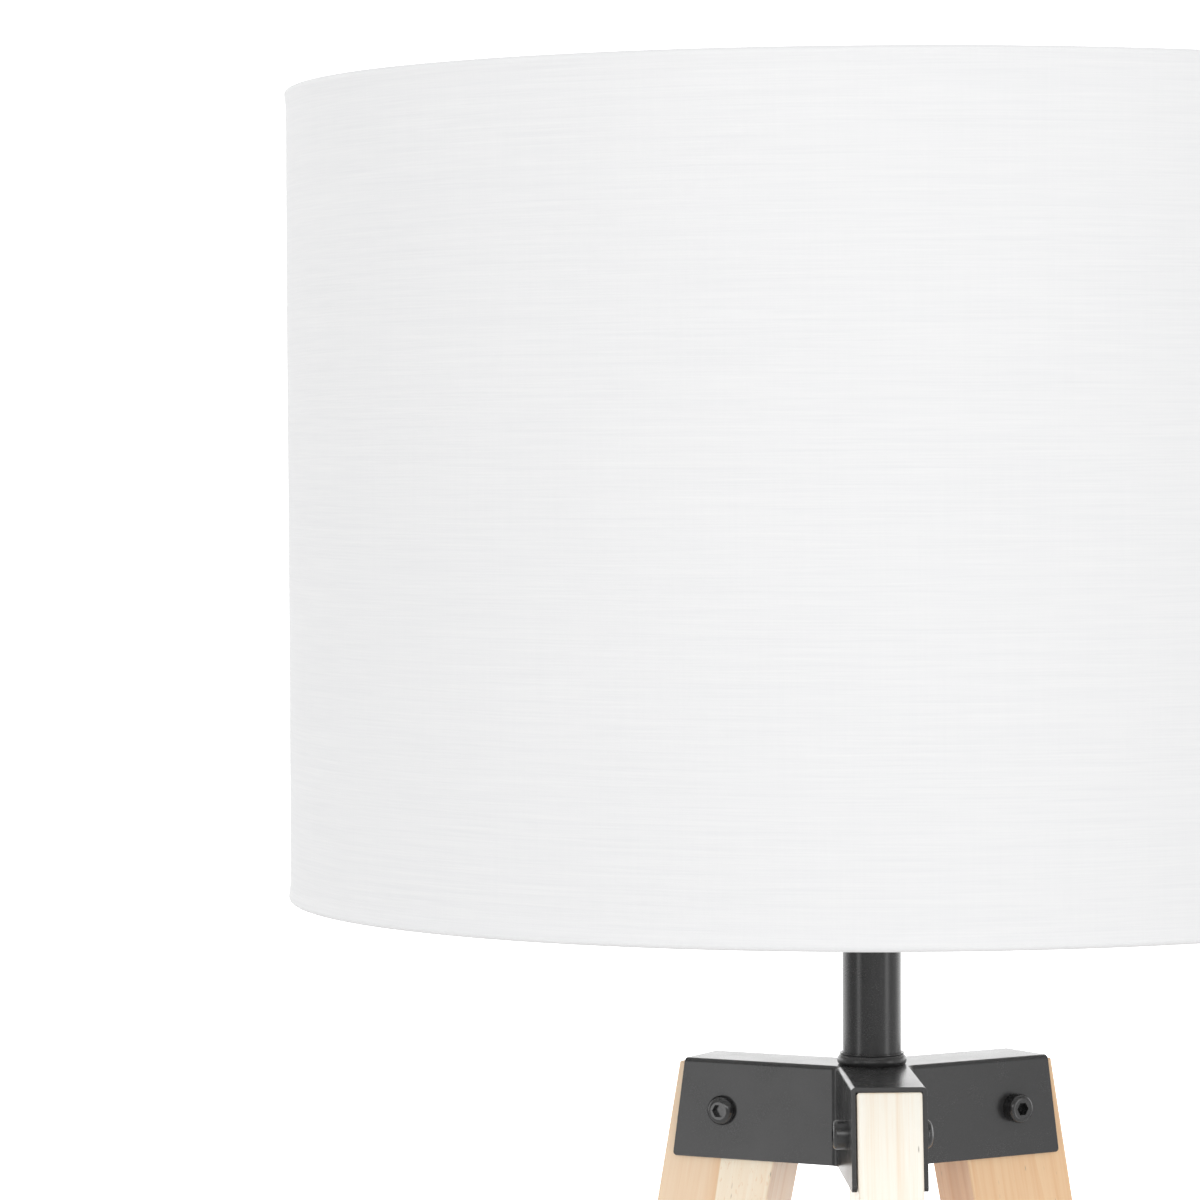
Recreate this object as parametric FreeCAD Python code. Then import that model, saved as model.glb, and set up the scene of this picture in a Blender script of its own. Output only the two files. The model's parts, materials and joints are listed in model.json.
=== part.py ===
import FreeCAD, Part
import math
import os

# Tripod floor lamp: a three-armed sheet-metal bracket holds three tapering wooden legs and a short
# stem, and the stem carries a screw lampholder with a drum shade clamped to it.
# Millimetres, +Z up. Everything is built about the lamp's axis, and write_node() then moves it so
# that the origin is the middle of the lamp's box, on the floor.

os.makedirs("parts", exist_ok=True)

V = FreeCAD.Vector

# ---------------------------------------------------------------- overall
LAMP_HEIGHT = 1500.0        # floor to the shade's top edge
SHADE_DIAMETER = 480.0
SHADE_HEIGHT = 332.6
STEM_SHOWING = 69.7         # stem between the bracket and the shade's bottom edge

# ---------------------------------------------------------------- fits
RUNNING = 0.08              # radial clearance where one piece turns or slides on another
THREAD_CLEARANCE = 0.1      # radial clearance that stands in for a screw thread's play
SNUG = 0.05                 # radial clearance of a piece pushed or glued into place
LIFT = 0.3                  # space between two bodies that rest on or move past each other
MARGIN = 5.0                # how far a cutting shape runs past what it cuts
SAME = 1e-6                 # two places closer than this count as one

# ---------------------------------------------------------------- bracket
ARM_ANGLES = {"front": -90.0, "right": 30.0, "left": 150.0}
SHEET = 2.0                 # steel sheet of the bracket
BRACKET_HEIGHT = 41.3
ARM_REACH_TOP = 79.2        # lamp's axis to the arm's end, at the top plate
ARM_REACH_BOTTOM = 85.1     # the same at the side plates' lower edge: the ends slant outwards
TOP_BEND_RADIUS = 2.0
CROTCH_RADIUS = 4.5         # the upright bend between two arms
PLATE_CORNER_RADIUS = 1.5

# ---------------------------------------------------------------- legs
LEG_WIDTH = 26.0
LEG_SIDE_GAP = 0.3          # leg to side plate
LEG_SPLAY = 11.1            # degrees out of upright
LEG_OUTER_DEPTH = 24.5      # bolt to the leg's outer face
LEG_INNER_DEPTH = 26.5      # bolt to the leg's inner face
LEG_FOOT_DEPTH = 27.5
LEG_EDGE_RADIUS = 1.0
PIVOT_REACH = 61.8          # lamp's axis to the leg's bolt
PIVOT_DROP = 21.1           # bracket's top to the leg's bolt
GLIDE_DIAMETER = 20.0
GLIDE_THICKNESS = 3.0
GLIDE_EDGE_RADIUS = 0.8
NAIL_DIAMETER = 2.5
NAIL_LENGTH = 12.0

# ---------------------------------------------------------------- leg bolts and sleeve nuts
BOLT_DIAMETER = 6.0
BOLT_HEAD_DIAMETER = 12.3
BOLT_HEAD_HEIGHT = 3.75
BOLT_HEAD_FLAT = 7.4        # flat ring round the socket, on top of the domed head
BOLT_DOME_BULGE = 0.6       # how far the dome stands out from a straight cone
BOLT_DOME_SHARE = 0.68      # height of that bulge, as a share of the head
BOLT_SOCKET = 5.0           # across flats
BOLT_SOCKET_DEPTH = 2.4
BOLT_LENGTH = 23.0
SLEEVE_WALL = 0.9
SLEEVE_END_GAP = 1.0        # sleeve's end to the far side plate
NUT_HEAD_DIAMETER = 12.0
NUT_HEAD_HEIGHT = 6.0
NUT_HEAD_EDGE_RADIUS = 1.9
NUT_SOCKET = 5.0
NUT_SOCKET_DEPTH = 4.0
HOLE_PLAY = 0.2             # radial, where a fastener passes through sheet metal

# ---------------------------------------------------------------- stem
STEM_DIAMETER = 24.4
STEM_WALL = 1.5
STEM_INSIDE_SHADE = 18.0    # shade's bottom edge to the stem's top
COLLAR_HEIGHT = 5.0
COLLAR_FOOT = 1.5           # how far the collar stands out from the stem at its foot
COLLAR_BEAD = 2.2           # the same at its bead
COLLAR_BEAD_HEIGHT = 1.7    # height of the bead's widest point
COLLAR_NECK = 0.85          # how far the neck between bead and lip stands out from the stem
COLLAR_LIP = 1.15           # the same at the lip
COLLAR_LIP_THICKNESS = 0.5
COLLAR_LIP_UNDERCUT = 0.3   # height of the slope under the lip
STEM_CAP_THICKNESS = 3.0
STEM_CAP_SPIGOT = 6.0
ROD_DIAMETER = 10.0
ROD_BORE = 8.0
ROD_IN_HOLDER = 9.0         # rod standing up inside the lampholder
ROD_BELOW_NUT = 2.5
WASHER_DIAMETER = 22.0
WASHER_THICKNESS = 1.5
ROD_NUT_FLATS = 14.0
ROD_NUT_HEIGHT = 4.0
LOCK_WASHER_DIAMETER = 18.0
LOCK_WASHER_THICKNESS = 0.8
LOCK_WASHER_TEETH = 12
LOCK_WASHER_TOOTH = 1.6
GLAND_FLANGE_DIAMETER = 12.0
GLAND_FLANGE_HEIGHT = 3.0
GLAND_SPIGOT = 8.0
GLAND_CHAMFER = 1.0
CORD_HOLE = 6.4             # bore of the gland, for a round flexible cord

# ---------------------------------------------------------------- lampholder
SCREW_SHELL_BORE = 26.9
SCREW_SHELL_WALL = 0.6
SCREW_SHELL_HEIGHT = 23.0
SCREW_SHELL_FLANGE = 4.45   # width of the screw shell's floor, from its bore inwards
HOLDER_AIR = 1.75           # radial space between the screw shell and the cover round it
HOLDER_WALL = 2.0
HOLDER_FOOT_DIAMETER = 28.0
HOLDER_BASE_HEIGHT = 20.0
HOLDER_BASE_DOME = 14.0     # height of the base's rounded part
HOLDER_DOME_WIDENING = 0.75 # share of the base's widening reached in the dome's middle
HOLDER_DOME_MIDDLE = 0.4    # height of that middle, as a share of the dome
HOLDER_FLOOR = 2.5
HOLDER_BOSS_WALL = 3.4
HOLDER_SPIGOT = 5.0
HOLDER_SHELL_WALL = 1.9
HOLDER_TOP = 56.0           # holder's foot to its rim
HOLDER_RIM_CHAMFER = 1.0
SHOULDER_LEDGE = 3.2        # how far the shoulder stands out from the thread
SHOULDER_BOTTOM = 22.0      # above the holder's foot
SHOULDER_HEIGHT = 3.0
INSERT_BOTTOM = 16.0
INSERT_HEIGHT = 14.0
CONTACT_SPAN = 14.0
CONTACT_RISE = 4.0
CONTACT_THICKNESS = 0.8
CONTACT_WIDTH = 5.0
SIDE_CONTACT_HEIGHT = 12.0
SIDE_CONTACT_WIDTH = 6.0
TERMINAL_SPACING = 18.0
TERMINAL_DIAMETER = 3.0
TERMINAL_LENGTH = 8.0
TERMINAL_HEAD_DIAMETER = 5.0
TERMINAL_HEAD_HEIGHT = 2.0
TERMINAL_SLOT = 0.8

# ---------------------------------------------------------------- shade
FABRIC = 0.8                # fabric with its glue
LINER = 0.5                 # stiff backing sheet
RING_WIRE = 3.0
HEM = 9.0                   # fabric turned in over the wire ring
FITTER_WIDTH = 7.8          # the flat ring's own width, from its hole to its edge
FITTER_THICKNESS = 2.0
FITTER_PLAY = 0.4           # radial play of the fitter ring on the lampholder
SPOKE_DIAMETER = 2.8
SPOKE_SLIT = 0.3            # room round a spoke where it passes through the hem
WELD_LINE = 0.05            # between a spoke's end and what it is welded to
LOCK_RING_WALL = 7.12
LOCK_RING_HEIGHT = 9.0
LOCK_RING_GRIPS = 18
LOCK_RING_GRIP_DIAMETER = 3.0
LOCK_RING_LAND = 0.8         # plain edge left under the grip flutes
LOCK_RING_CHAMFER = 1.0

# ---------------------------------------------------------------- bulb
BULB_DIAMETER = 60.0
BULB_LENGTH = 107.0
BULB_CAP_PLAY = 0.35        # radial play of the bulb's cap in the screw shell
BULB_CAP_HEIGHT = 27.0
BULB_CAP_WALL = 0.5
BULB_THREAD_DEPTH = 0.7
BULB_THREAD_TURNS = 5
BULB_TIP_DIAMETER = 9.0
BULB_TIP_HEIGHT = 1.5
BULB_TIP_CHAMFER = 1.0
BULB_INSULATOR_STEP = 1.0   # how far the insulator's foot stands out from the tip
BULB_INSULATOR_TOP = 6.0
BULB_INSULATOR_LIP = 1.2    # height of the insulator inside the cap
BULB_HOUSING_TOP = 60.0     # bulb's tip to the dome's lower edge
BULB_HOUSING_WALL = 1.5
BULB_HOUSING_STEP = 1.0     # how far the housing's foot stands out from the cap
BULB_HOUSING_WAIST = 0.36   # share of the housing's widening reached half way up
BULB_GLASS = 1.2

# ---------------------------------------------------------------- worked out
SPLAY = math.radians(LEG_SPLAY)
SHADE_TOP = LAMP_HEIGHT
SHADE_BOTTOM = SHADE_TOP - SHADE_HEIGHT
SHADE_RADIUS = SHADE_DIAMETER / 2
BRACKET_TOP = SHADE_BOTTOM - STEM_SHOWING
BRACKET_BOTTOM = BRACKET_TOP - BRACKET_HEIGHT
PLATE_UNDERSIDE = BRACKET_TOP - SHEET
CHANNEL_HALF = LEG_WIDTH / 2 + LEG_SIDE_GAP
ARM_HALF = CHANNEL_HALF + SHEET
END_SLOPE = (ARM_REACH_BOTTOM - ARM_REACH_TOP) / BRACKET_HEIGHT
PIVOT_HEIGHT = BRACKET_TOP - PIVOT_DROP
PIVOT_TO_FLOOR = PIVOT_HEIGHT / math.cos(SPLAY)     # along the leg
# The leg's square top stops just under the top plate's end, which sets how far the leg can splay.
LEG_HEAD = ((PIVOT_DROP - SHEET - LIFT) * math.cos(SPLAY)
            - (ARM_REACH_TOP - PIVOT_REACH) * math.sin(SPLAY))
STEM_RADIUS = STEM_DIAMETER / 2
STEM_TOP = SHADE_BOTTOM + STEM_INSIDE_SHADE
ROD_RADIUS = ROD_DIAMETER / 2
STEM_CAP_TOP = STEM_TOP + STEM_CAP_THICKNESS
HOLDER_FOOT = STEM_CAP_TOP + LOCK_WASHER_THICKNESS
ROD_TOP = HOLDER_FOOT + ROD_IN_HOLDER
WASHER_BOTTOM = PLATE_UNDERSIDE - WASHER_THICKNESS
ROD_NUT_BOTTOM = WASHER_BOTTOM - ROD_NUT_HEIGHT
ROD_BOTTOM = ROD_NUT_BOTTOM - ROD_BELOW_NUT
HOLDER_BORE_RADIUS = SCREW_SHELL_BORE / 2 + SCREW_SHELL_WALL + HOLDER_AIR
HOLDER_RADIUS = HOLDER_BORE_RADIUS + HOLDER_SHELL_WALL + THREAD_CLEARANCE + HOLDER_WALL
SHOULDER_RADIUS = HOLDER_RADIUS + SHOULDER_LEDGE
INSERT_TOP = HOLDER_FOOT + INSERT_BOTTOM + INSERT_HEIGHT
SHOULDER_TOP = HOLDER_FOOT + SHOULDER_BOTTOM + SHOULDER_HEIGHT
FITTER_BOTTOM = SHOULDER_TOP + SNUG
FITTER_TOP = FITTER_BOTTOM + FITTER_THICKNESS
FITTER_BORE_RADIUS = HOLDER_RADIUS + FITTER_PLAY
FITTER_RADIUS = FITTER_BORE_RADIUS + FITTER_WIDTH
LOCK_RING_BOTTOM = FITTER_TOP + LIFT
RING_RADIUS = SHADE_RADIUS - FABRIC - LINER - 2 * SNUG - RING_WIRE / 2
RING_INSET = FABRIC + SNUG + RING_WIRE / 2          # shade's edge to the wire's middle
SLEEVE_DIAMETER = BOLT_DIAMETER + 2 * (THREAD_CLEARANCE + SLEEVE_WALL)
BULB_TIP = INSERT_TOP + CONTACT_RISE + LIFT
BULB_CAP_RADIUS = SCREW_SHELL_BORE / 2 - BULB_CAP_PLAY
BULB_CAP_ROOT = BULB_CAP_RADIUS - BULB_THREAD_DEPTH
BULB_CAP_TOP = BULB_TIP + BULB_CAP_HEIGHT
BULB_DOME_BOTTOM = BULB_TIP + BULB_HOUSING_TOP
BULB_DOME_CENTRE = BULB_TIP + BULB_LENGTH - BULB_DIAMETER / 2


# ---------------------------------------------------------------- shapes
def outline(start, *steps):
    """A closed wire in the XZ plane. A step is the next point, or (through, end) for an arc."""
    here = V(start[0], 0, start[1])
    edges = []
    for step in steps + (start,):
        if isinstance(step[0], tuple):
            through, end = (V(x, 0, z) for x, z in step)
            edges.append(Part.Arc(here, through, end).toShape())
        else:
            end = V(step[0], 0, step[1])
            if here.isEqual(end, SAME):
                continue
            edges.append(Part.LineSegment(here, end).toShape())
        here = end
    return Part.Wire(edges)


def turned(start, *steps):
    """An outline in the XZ plane turned about the lamp's axis."""
    return Part.Face(outline(start, *steps)).revolve(V(0, 0, 0), V(0, 0, 1), 360)


def slab(width, start, *steps):
    """An outline in the XZ plane made into a slab, with half its width on each side."""
    face = Part.Face(outline(start, *steps))
    face.translate(V(0, -width / 2, 0))
    return face.extrude(V(0, width, 0))


def tube(outer, inner, bottom, top):
    """An upright tube on the lamp's axis, by its radii and its two heights."""
    return turned((inner, bottom), (outer, bottom), (outer, top), (inner, top))


def cross_rod(radius, start, end, height, reach):
    """A round bar along the arm's width, at the given height and reach from the lamp's axis."""
    return Part.makeCylinder(radius, end - start, V(reach, start, height), V(0, 1, 0))


def hexagon(across_flats, length):
    """An upright hexagonal prism on the lamp's axis, standing at height 0."""
    corner = across_flats / math.sqrt(3)
    angles = [math.radians(60 * i) for i in range(7)]
    ring = Part.makePolygon([V(corner * math.cos(a), corner * math.sin(a), 0) for a in angles])
    return Part.Face(ring).extrude(V(0, 0, length))


def about_axis(shape, degrees):
    """The shape turned about the lamp's axis."""
    return shape.rotated(V(0, 0, 0), V(0, 0, 1), degrees)


def on_every_arm(shape):
    """One copy of a shape for each arm, made for an arm along +X."""
    return [about_axis(shape, angle) for angle in ARM_ANGLES.values()]


# ---------------------------------------------------------------- bracket
def star(half_width, reach, corner_radius, bottom, top):
    """Three equal arms that meet on the lamp's axis, with rounded corners between them."""
    half_angle = math.radians(180 / len(ARM_ANGLES))
    bend_start = (half_width + corner_radius) / math.tan(half_angle)
    bend_middle = (half_width + corner_radius) / math.sin(half_angle) - corner_radius
    corners = [(bend_start, -half_width), (reach, -half_width),
               (reach, half_width), (bend_start, half_width),
               (bend_middle * math.cos(half_angle), bend_middle * math.sin(half_angle))]
    points = []
    for angle in ARM_ANGLES.values():
        turn = FreeCAD.Rotation(V(0, 0, 1), angle)
        points += [turn.multVec(V(x, y, bottom)) for x, y in corners]
    edges = []
    count = len(points)
    for i in range(0, count, len(corners)):
        arm = points[i:i + len(corners)]
        edges += [Part.LineSegment(a, b).toShape() for a, b in zip(arm[:-2], arm[1:-1])]
        next_arm = points[(i + len(corners)) % count]
        edges.append(Part.Arc(arm[-2], arm[-1], next_arm).toShape())
    return Part.Face(Part.Wire(edges)).extrude(V(0, 0, top - bottom))


def arm_end_cutter():
    """What is cut off one arm, so that its end slants outwards from the top down."""
    far = ARM_REACH_BOTTOM + 2 * MARGIN
    return slab(2 * (ARM_HALF + MARGIN),
                (ARM_REACH_TOP - END_SLOPE * MARGIN, BRACKET_TOP + MARGIN),
                (ARM_REACH_BOTTOM + END_SLOPE * MARGIN, BRACKET_BOTTOM - MARGIN),
                (far, BRACKET_BOTTOM - MARGIN),
                (far, BRACKET_TOP + MARGIN))


def make_bracket():
    """The folded and welded sheet-metal bracket: a top plate and three bent side plates."""
    full_reach = ARM_REACH_BOTTOM + MARGIN
    body = star(ARM_HALF, full_reach, CROTCH_RADIUS, BRACKET_BOTTOM, BRACKET_TOP)
    bends = [edge for edge in body.Edges
             if all(abs(v.Z - BRACKET_TOP) < SAME for v in edge.Vertexes)
             and any(math.hypot(v.X, v.Y) < full_reach - SAME for v in edge.Vertexes)]
    body = body.makeFillet(TOP_BEND_RADIUS, bends)
    hollow = star(CHANNEL_HALF, full_reach + MARGIN, CROTCH_RADIUS + SHEET,
                  BRACKET_BOTTOM - MARGIN, PLATE_UNDERSIDE)
    bolt_hole = cross_rod(BOLT_DIAMETER / 2 + HOLE_PLAY, 0, ARM_HALF + MARGIN,
                          PIVOT_HEIGHT, PIVOT_REACH)
    sleeve_hole = cross_rod(SLEEVE_DIAMETER / 2 + HOLE_PLAY, -ARM_HALF - MARGIN, 0,
                            PIVOT_HEIGHT, PIVOT_REACH)
    rod_hole = Part.makeCylinder(ROD_RADIUS + HOLE_PLAY, BRACKET_HEIGHT, V(0, 0, BRACKET_BOTTOM + SHEET))
    cuts = [hollow, rod_hole]
    for piece in (arm_end_cutter(), bolt_hole, sleeve_hole):
        cuts += on_every_arm(piece)
    body = body.cut(cuts)
    corners = [edge for edge in body.Edges
               if all(abs(v.Z - BRACKET_BOTTOM) < SAME
                      and math.hypot(v.X, v.Y) > ARM_REACH_BOTTOM - SAME for v in edge.Vertexes)]
    return body.makeFillet(PLATE_CORNER_RADIUS, corners)


# ---------------------------------------------------------------- legs
def leg_point(outwards, along):
    """A point given in the leg's own directions from its bolt, as (reach, height)."""
    return (PIVOT_REACH + outwards * math.cos(SPLAY) - along * math.sin(SPLAY),
            PIVOT_HEIGHT + outwards * math.sin(SPLAY) + along * math.cos(SPLAY))


def leg_face_point(top_depth, height):
    """Where a leg's outer (depth > 0) or inner (depth < 0) face passes the given height."""
    foot_depth = math.copysign(LEG_FOOT_DEPTH / 2, top_depth)
    x0, z0 = leg_point(top_depth, 0)
    x1, z1 = leg_point(foot_depth, -PIVOT_TO_FLOOR)
    share = (z0 - height) / (z0 - z1)
    return (x0 + share * (x1 - x0), height)


def foot_centre():
    """Reach of the middle of the leg's foot end."""
    outer, _ = leg_face_point(LEG_OUTER_DEPTH, GLIDE_THICKNESS)
    inner, _ = leg_face_point(-LEG_INNER_DEPTH, GLIDE_THICKNESS)
    return (outer + inner) / 2


def nail(radius, length):
    """The glide's nail, standing up into the leg's foot."""
    return Part.makeCylinder(radius, length, V(foot_centre(), 0, GLIDE_THICKNESS))


def make_leg():
    """A tapering square-edged leg, bored for its bolt and cut level at the foot."""
    leg = slab(LEG_WIDTH,
               leg_point(LEG_OUTER_DEPTH, LEG_HEAD),
               leg_point(-LEG_INNER_DEPTH, LEG_HEAD),
               leg_face_point(-LEG_INNER_DEPTH, GLIDE_THICKNESS),
               leg_face_point(LEG_OUTER_DEPTH, GLIDE_THICKNESS))
    leg = leg.makeFillet(LEG_EDGE_RADIUS, leg.Edges)
    bore = cross_rod(SLEEVE_DIAMETER / 2 + RUNNING, -LEG_WIDTH, LEG_WIDTH, PIVOT_HEIGHT, PIVOT_REACH)
    return leg.cut([bore, nail(NAIL_DIAMETER / 2 + SNUG, NAIL_LENGTH + MARGIN)])


def make_glide():
    """A round floor glide with its nail."""
    radius = GLIDE_DIAMETER / 2
    disc = Part.makeCylinder(radius, GLIDE_THICKNESS, V(foot_centre(), 0, 0))
    rim = [edge for edge in disc.Edges if all(v.Z < SAME for v in edge.Vertexes)]
    disc = disc.makeFillet(GLIDE_EDGE_RADIUS, rim)
    return disc.fuse(nail(NAIL_DIAMETER / 2, NAIL_LENGTH)).removeSplitter()


def make_leg_bolt():
    """The domed socket-head bolt, from the arm's +Y side into the sleeve nut."""
    radius = BOLT_HEAD_DIAMETER / 2
    flat = BOLT_HEAD_FLAT / 2
    bulge = ((radius + flat) / 2 + BOLT_DOME_BULGE, BOLT_HEAD_HEIGHT * BOLT_DOME_SHARE)
    head = turned((0, 0), (radius, 0), (bulge, (flat, BOLT_HEAD_HEIGHT)), (0, BOLT_HEAD_HEIGHT))
    socket = hexagon(BOLT_SOCKET, BOLT_SOCKET_DEPTH + MARGIN)
    socket.translate(V(0, 0, BOLT_HEAD_HEIGHT - BOLT_SOCKET_DEPTH))
    shank = Part.makeCylinder(BOLT_DIAMETER / 2, BOLT_LENGTH, V(0, 0, -BOLT_LENGTH))
    bolt = head.fuse(shank).removeSplitter().cut(socket)
    bolt.rotate(V(0, 0, 0), V(1, 0, 0), -90)
    bolt.translate(V(PIVOT_REACH, ARM_HALF, PIVOT_HEIGHT))
    return bolt


def make_sleeve_nut():
    """The sleeve nut, from the arm's -Y side: the leg turns on its sleeve."""
    radius = NUT_HEAD_DIAMETER / 2
    sleeve_length = ARM_HALF + CHANNEL_HALF - SLEEVE_END_GAP
    head = Part.makeCylinder(radius, NUT_HEAD_HEIGHT)
    rim = [edge for edge in head.Edges if all(v.Z > NUT_HEAD_HEIGHT - SAME for v in edge.Vertexes)]
    head = head.makeFillet(NUT_HEAD_EDGE_RADIUS, rim)
    sleeve = Part.makeCylinder(SLEEVE_DIAMETER / 2, sleeve_length, V(0, 0, -sleeve_length))
    bore = Part.makeCylinder(BOLT_DIAMETER / 2 + THREAD_CLEARANCE, sleeve_length + MARGIN,
                             V(0, 0, -sleeve_length - MARGIN))
    socket = hexagon(NUT_SOCKET, NUT_SOCKET_DEPTH + MARGIN)
    socket.translate(V(0, 0, NUT_HEAD_HEIGHT - NUT_SOCKET_DEPTH))
    nut = head.fuse(sleeve).removeSplitter().cut([bore, socket])
    nut.rotate(V(0, 0, 0), V(1, 0, 0), 90)
    nut.translate(V(PIVOT_REACH, -ARM_HALF, PIVOT_HEIGHT))
    return nut


# ---------------------------------------------------------------- stem and its fixing
def make_stem_collar():
    """The turned collar round the stem's foot: a rounded bead under a thin lip."""
    inner = STEM_RADIUS + SNUG
    neck = STEM_RADIUS + COLLAR_NECK
    lip = STEM_RADIUS + COLLAR_LIP
    top = BRACKET_TOP + COLLAR_HEIGHT
    lip_bottom = top - COLLAR_LIP_THICKNESS
    return turned((inner, BRACKET_TOP),
                  (STEM_RADIUS + COLLAR_FOOT, BRACKET_TOP),
                  ((STEM_RADIUS + COLLAR_BEAD, BRACKET_TOP + COLLAR_BEAD_HEIGHT),
                   (neck, lip_bottom - COLLAR_LIP_UNDERCUT)),
                  (lip, lip_bottom), (lip, top), (inner, top))


def make_stem_cap():
    """The turned disc that closes the stem's top and centres the rod in it."""
    bore = ROD_RADIUS + THREAD_CLEARANCE
    spigot = STEM_RADIUS - STEM_WALL - SNUG
    return turned((bore, STEM_TOP - STEM_CAP_SPIGOT), (spigot, STEM_TOP - STEM_CAP_SPIGOT),
                  (spigot, STEM_TOP), (STEM_RADIUS, STEM_TOP),
                  (STEM_RADIUS, STEM_CAP_TOP), (bore, STEM_CAP_TOP))


def make_lock_washer():
    """The toothed washer under the lampholder."""
    outer = LOCK_WASHER_DIAMETER / 2
    points = []
    for i in range(2 * LOCK_WASHER_TEETH + 1):
        angle = math.pi * i / LOCK_WASHER_TEETH
        radius = outer - LOCK_WASHER_TOOTH * (i % 2)
        points.append(V(radius * math.cos(angle), radius * math.sin(angle), STEM_CAP_TOP))
    disc = Part.Face(Part.makePolygon(points)).extrude(V(0, 0, LOCK_WASHER_THICKNESS))
    return disc.cut(Part.makeCylinder(ROD_RADIUS + THREAD_CLEARANCE, 2 * MARGIN,
                                      V(0, 0, STEM_CAP_TOP - MARGIN)))


def make_rod_nut():
    """The hexagon nut that pulls the stem down on the bracket."""
    nut = hexagon(ROD_NUT_FLATS, ROD_NUT_HEIGHT)
    nut = nut.cut(Part.makeCylinder(ROD_RADIUS + THREAD_CLEARANCE, ROD_NUT_HEIGHT))
    nut.translate(V(0, 0, ROD_NUT_BOTTOM))
    return nut


def make_cord_gland():
    """The bushing in the rod's lower end, where the supply cord goes in."""
    bore = CORD_HOLE / 2
    spigot = ROD_BORE / 2 - SNUG
    flange = GLAND_FLANGE_DIAMETER / 2
    bottom = ROD_BOTTOM - GLAND_FLANGE_HEIGHT
    return turned((bore, bottom), (flange - GLAND_CHAMFER, bottom), (flange, bottom + GLAND_CHAMFER),
                  (flange, ROD_BOTTOM), (spigot, ROD_BOTTOM), (spigot, ROD_BOTTOM + GLAND_SPIGOT),
                  (bore, ROD_BOTTOM + GLAND_SPIGOT))


# ---------------------------------------------------------------- lampholder
def make_lampholder_base():
    """The domed lower cover, screwed on the rod by a boss in its floor."""
    z = HOLDER_FOOT
    outer = HOLDER_RADIUS
    inner = outer - HOLDER_WALL
    foot = HOLDER_FOOT_DIAMETER / 2
    bore = ROD_RADIUS + THREAD_CLEARANCE
    boss = bore + HOLDER_BOSS_WALL
    dome = z + HOLDER_BASE_DOME
    top = z + HOLDER_BASE_HEIGHT
    middle = foot + (outer - foot) * HOLDER_DOME_WIDENING
    middle_height = z + HOLDER_BASE_DOME * HOLDER_DOME_MIDDLE
    return turned((bore, z), (foot, z),
                  ((middle, middle_height), (outer, dome)),
                  (outer, top), (inner, top), (inner, dome),
                  ((middle - HOLDER_WALL, middle_height + HOLDER_WALL),
                   (foot - HOLDER_WALL, z + HOLDER_FLOOR)),
                  (boss, z + HOLDER_FLOOR), (boss, z + ROD_IN_HOLDER), (bore, z + ROD_IN_HOLDER))


def make_lampholder_shell():
    """The upper cover, threaded outside, with the shoulder that the shade rests on."""
    bore = HOLDER_BORE_RADIUS
    spigot = bore + HOLDER_SHELL_WALL
    joint = HOLDER_FOOT + HOLDER_BASE_HEIGHT
    rim = HOLDER_FOOT + HOLDER_TOP
    ledge = HOLDER_FOOT + SHOULDER_BOTTOM
    return turned((bore, joint - HOLDER_SPIGOT), (spigot, joint - HOLDER_SPIGOT), (spigot, joint),
                  (HOLDER_RADIUS, joint), (HOLDER_RADIUS, ledge),
                  (SHOULDER_RADIUS, ledge), (SHOULDER_RADIUS, SHOULDER_TOP),
                  (HOLDER_RADIUS, SHOULDER_TOP), (HOLDER_RADIUS, rim - HOLDER_RIM_CHAMFER),
                  (HOLDER_RADIUS - HOLDER_RIM_CHAMFER, rim), (bore, rim))


def make_lampholder_insert():
    """The ceramic block inside the holder that carries the contacts and the terminals."""
    bottom = HOLDER_FOOT + INSERT_BOTTOM
    block = Part.makeCylinder(HOLDER_BORE_RADIUS - SNUG, INSERT_HEIGHT, V(0, 0, bottom))
    holes = []
    for side in (-1, 1):
        x = side * TERMINAL_SPACING / 2
        holes.append(Part.makeCylinder(TERMINAL_DIAMETER / 2 + SNUG, TERMINAL_LENGTH, V(x, 0, bottom)))
        holes.append(Part.makeCylinder(TERMINAL_DIAMETER / 2, INSERT_HEIGHT, V(0, x, bottom)))
    return block.cut(holes)


def make_terminal_screws():
    """Two slotted terminal screws, heads down, under the ceramic block."""
    bottom = HOLDER_FOOT + INSERT_BOTTOM
    screws = []
    for side in (-1, 1):
        at = V(side * TERMINAL_SPACING / 2, 0, bottom)
        shank = Part.makeCylinder(TERMINAL_DIAMETER / 2, TERMINAL_LENGTH - SNUG, at)
        head = Part.makeCylinder(TERMINAL_HEAD_DIAMETER / 2, TERMINAL_HEAD_HEIGHT, at, V(0, 0, -1))
        slot = Part.makeBox(TERMINAL_SLOT, 2 * TERMINAL_HEAD_DIAMETER, TERMINAL_HEAD_HEIGHT / 2,
                            at - V(TERMINAL_SLOT / 2, TERMINAL_HEAD_DIAMETER, TERMINAL_HEAD_HEIGHT))
        screws.append(shank.fuse(head).removeSplitter().cut(slot))
    return Part.makeCompound(screws)


def make_screw_shell():
    """The brass screw shell that the bulb's cap turns in."""
    bore = SCREW_SHELL_BORE / 2
    outer = bore + SCREW_SHELL_WALL
    floor_bore = bore - SCREW_SHELL_FLANGE
    top = INSERT_TOP + SCREW_SHELL_HEIGHT
    floor_top = INSERT_TOP + SCREW_SHELL_WALL
    return turned((floor_bore, INSERT_TOP), (outer, INSERT_TOP), (outer, top), (bore, top),
                  (bore, floor_top), (floor_bore, floor_top))


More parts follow.
